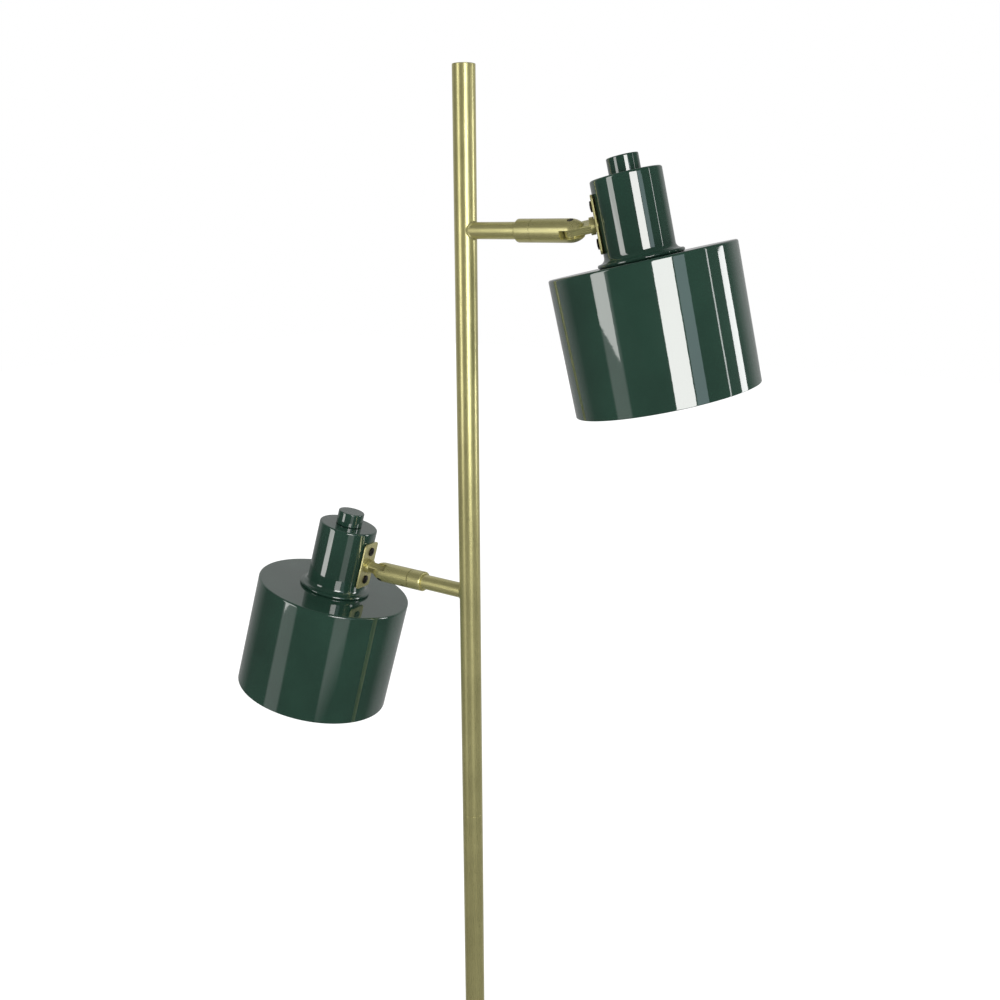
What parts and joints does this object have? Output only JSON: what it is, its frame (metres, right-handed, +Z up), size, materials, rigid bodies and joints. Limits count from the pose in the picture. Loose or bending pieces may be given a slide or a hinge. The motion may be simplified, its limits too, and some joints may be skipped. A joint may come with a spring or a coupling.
{
  "type": "floor lamp",
  "caption": "Standing floor lamp: slim brass pole on a weighted disc foot, with arms whose swivelling knuckles carry glossy green drum shades and turn-knob switches.",
  "frame": {"origin": "centre of the foot's underside, on the pole's axis, where the felt pad meets the floor", "axes": "+Z up along the pole; +X along the upper arm, away from the pole; -X along the lower arm; +Y towards the cord inlet at the back of the foot"},
  "size_m": [0.4681, 0.2516, 1.457],
  "materials": {
    "satin_brass": "satin, lacquered",
    "green_lacquer": "high gloss",
    "shade_lacquer": "high gloss outside, matt white inside",
    "cast_weight": "as cast",
    "felt": "felt",
    "grommet_rubber": "matt",
    "lead_insulation": "smooth",
    "holder_plastic": "moulded",
    "opal_glass": "opal",
    "cap_metal": "plain",
    "dark_steel": "blackened",
    "plated_steel": "zinc plated"
  },
  "bodies": {
    "stand": {"arm_collars": "satin_brass", "arm_spigots": "plated_steel", "cord_grommet": "grommet_rubber", "foot_cover": "satin_brass", "foot_nut": "plated_steel", "foot_pad": "felt", "foot_stud": "plated_steel", "foot_weight": "cast_weight", "lower_arm": "satin_brass", "pole_lower": "satin_brass", "pole_middle": "satin_brass", "pole_sockets": "plated_steel", "pole_spigots": "plated_steel", "pole_top_plug": "satin_brass", "pole_upper": "satin_brass", "supply_leads": "lead_insulation", "terminal_block": "holder_plastic", "upper_arm": "satin_brass"},
    "upper_sleeve": {"upper_sleeve": "satin_brass", "upper_grub_screw": "dark_steel", "upper_knuckle_pin": "dark_steel"},
    "upper_tongue": {"upper_tongue": "satin_brass", "upper_swivel_nut": "plated_steel"},
    "upper_knob": {"upper_knob": "green_lacquer", "upper_knob_spindle": "plated_steel"},
    "upper_head": {"upper_bulb_cap": "cap_metal", "upper_bulb_glass": "opal_glass", "upper_holder_bracket": "plated_steel", "upper_holder_nipple": "plated_steel", "upper_lampholder_body": "holder_plastic", "upper_lampholder_cap": "holder_plastic", "upper_mount_plate": "satin_brass", "upper_neck": "green_lacquer", "upper_plate_screws": "dark_steel", "upper_shade": "shade_lacquer", "upper_shade_ring": "holder_plastic", "upper_switch": "holder_plastic", "upper_switch_nut": "plated_steel", "upper_wall_spacer": "plated_steel"},
    "lower_sleeve": {"lower_sleeve": "satin_brass", "lower_grub_screw": "dark_steel", "lower_knuckle_pin": "dark_steel"},
    "lower_tongue": {"lower_tongue": "satin_brass", "lower_swivel_nut": "plated_steel"},
    "lower_knob": {"lower_knob": "green_lacquer", "lower_knob_spindle": "plated_steel"},
    "lower_head": {"lower_bulb_cap": "cap_metal", "lower_bulb_glass": "opal_glass", "lower_holder_bracket": "plated_steel", "lower_holder_nipple": "plated_steel", "lower_lampholder_body": "holder_plastic", "lower_lampholder_cap": "holder_plastic", "lower_mount_plate": "satin_brass", "lower_neck": "green_lacquer", "lower_plate_screws": "dark_steel", "lower_shade": "shade_lacquer", "lower_shade_ring": "holder_plastic", "lower_switch": "holder_plastic", "lower_switch_nut": "plated_steel", "lower_wall_spacer": "plated_steel"}
  },
  "joints": [
    {"name": "upper_sleeve_roll", "type": "hinge", "parent": "stand", "child": "upper_sleeve", "pos_m": [0.0975, 0, 1.335], "axis": [1, 0, 0], "range_deg": [-150, 150]},
    {"name": "upper_knuckle_bend", "type": "hinge", "parent": "upper_sleeve", "child": "upper_tongue", "pos_m": [0.0975, 0, 1.335], "axis": [0, -0.4067, 0.9135], "range_deg": [-62, 28]},
    {"name": "upper_head_swivel", "type": "hinge", "parent": "upper_tongue", "child": "upper_head", "pos_m": [0.11192, 0.00823, 1.33866], "axis": [-0.848, -0.4841, -0.2155], "range_deg": [-120, 120]},
    {"name": "upper_knob_turn", "type": "hinge", "parent": "upper_head", "child": "upper_knob", "pos_m": [0.12959, 0.01944, 1.3748], "axis": [-0.2028, -0.0793, 0.976], "continuous": true},
    {"name": "lower_sleeve_roll", "type": "hinge", "parent": "stand", "child": "lower_sleeve", "pos_m": [-0.0975, 0, 1.034], "axis": [-1, 0, 0], "range_deg": [-150, 150]},
    {"name": "lower_knuckle_bend", "type": "hinge", "parent": "lower_sleeve", "child": "lower_tongue", "pos_m": [-0.0975, 0, 1.034], "axis": [0, 0.7716, 0.6361], "range_deg": [-47, 43]},
    {"name": "lower_head_swivel", "type": "hinge", "parent": "lower_tongue", "child": "lower_head", "pos_m": [-0.11376, -0.00316, 1.03784], "axis": [0.9563, 0.186, -0.2256], "range_deg": [-120, 120]},
    {"name": "lower_knob_turn", "type": "hinge", "parent": "lower_head", "child": "lower_knob", "pos_m": [-0.13458, -0.0038, 1.07403], "axis": [0.1994, 0.1495, 0.9685], "continuous": true}
  ]
}
